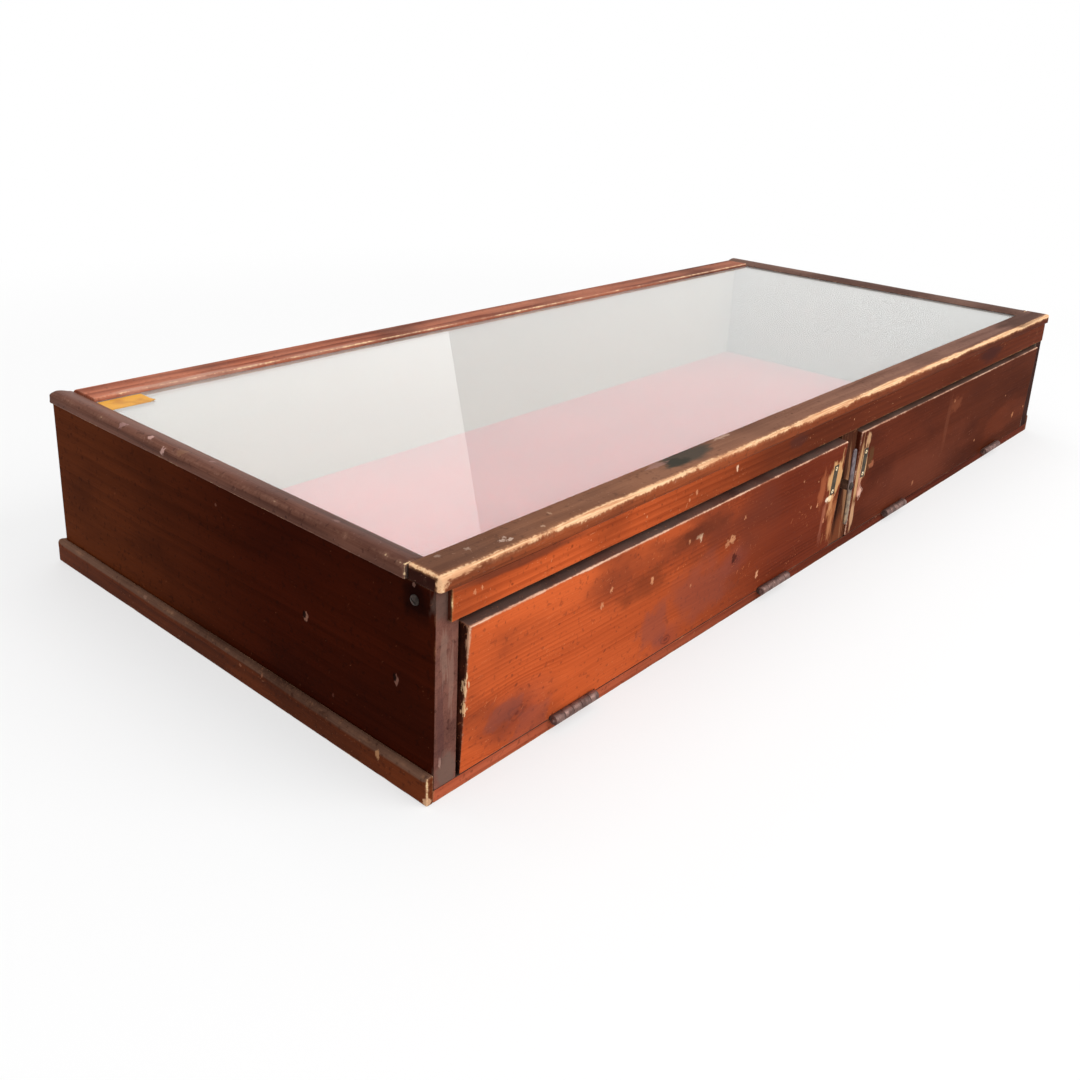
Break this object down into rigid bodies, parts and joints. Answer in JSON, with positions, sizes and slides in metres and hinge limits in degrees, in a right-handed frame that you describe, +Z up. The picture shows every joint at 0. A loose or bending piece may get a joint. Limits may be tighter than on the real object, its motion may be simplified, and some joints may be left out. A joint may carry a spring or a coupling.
{
  "type": "display case",
  "caption": "Low wooden counter display case with a glass top, two drop-down rear doors on butt hinges, a turn button between them and a felt-lined floor, for fishing lures.",
  "frame": {"origin": "centre of the underside of the base board, on the surface the case stands on", "axes": "+X along the length of the case, +Z up, doors face -Y and the customer side faces +Y"},
  "size_m": [1.172, 0.5316, 0.172],
  "materials": {
    "stained_board": "old dark varnish, satin",
    "door_wood": "worn orange-brown stain on knotty softwood",
    "rail_wood": "worn orange-brown stain",
    "base_wood": "worn stain",
    "stile_wood": "worn stain",
    "inner_wood": "bare aged wood",
    "top_wood": "dusty brown varnish with worn arrises",
    "red_wood": "reddish-brown varnish",
    "moulding_wood": "dark varnish, worn along the top",
    "glass": "clear float glass",
    "felt": "red felt",
    "hinge_steel": "dull aged steel",
    "screw_steel": "dull steel",
    "plate_steel": "blackened steel",
    "brass": "worn brass",
    "button_metal": "tarnished metal"
  },
  "bodies": {
    "case": {"base_board": "base_wood", "case_leaf_screws": "screw_steel", "centre_stile": "stile_wood", "door_rail": "rail_wood", "door_stop": "inner_wood", "felt_floor": "felt", "front_base_moulding": "moulding_wood", "front_board": "stained_board", "front_top_rail": "red_wood", "glass_pane": "glass", "hinge_1_case_leaf": "hinge_steel", "hinge_1_pin": "hinge_steel", "hinge_2_case_leaf": "hinge_steel", "hinge_2_pin": "hinge_steel", "hinge_3_case_leaf": "hinge_steel", "hinge_3_pin": "hinge_steel", "hinge_4_case_leaf": "hinge_steel", "hinge_4_pin": "hinge_steel", "left_base_moulding": "moulding_wood", "left_end_board": "stained_board", "left_top_moulding": "top_wood", "rear_top_rail": "top_wood", "right_base_moulding": "moulding_wood", "right_end_board": "stained_board", "right_top_moulding": "top_wood", "stop_screws": "screw_steel", "turn_button_screw": "button_metal", "turn_button_spacer": "button_metal"},
    "left_door": {"left_door_panel": "door_wood", "left_door_leaf_screws": "screw_steel", "left_strike_plate": "plate_steel", "left_strike_screws": "brass", "hinge_1_door_leaf": "hinge_steel", "hinge_2_door_leaf": "hinge_steel"},
    "right_door": {"right_door_panel": "door_wood", "right_door_leaf_screws": "screw_steel", "right_strike_plate": "plate_steel", "right_strike_screws": "brass", "hinge_3_door_leaf": "hinge_steel", "hinge_4_door_leaf": "hinge_steel"},
    "turn_button": {"turn_button": "button_metal"}
  },
  "joints": [
    {"name": "left_door_hinge", "type": "hinge", "parent": "case", "child": "left_door", "pos_m": [-0.285, -0.2605, 0.0103], "axis": [1, 0, 0], "range_deg": [-3.3, 90.7]},
    {"name": "right_door_hinge", "type": "hinge", "parent": "case", "child": "right_door", "pos_m": [0.285, -0.2605, 0.0103], "axis": [1, 0, 0], "range_deg": [-1.8, 92.2]},
    {"name": "turn_button_pivot", "type": "hinge", "parent": "case", "child": "turn_button", "pos_m": [-0.004, -0.2655, 0.077], "axis": [0, 1, 0], "continuous": true}
  ]
}
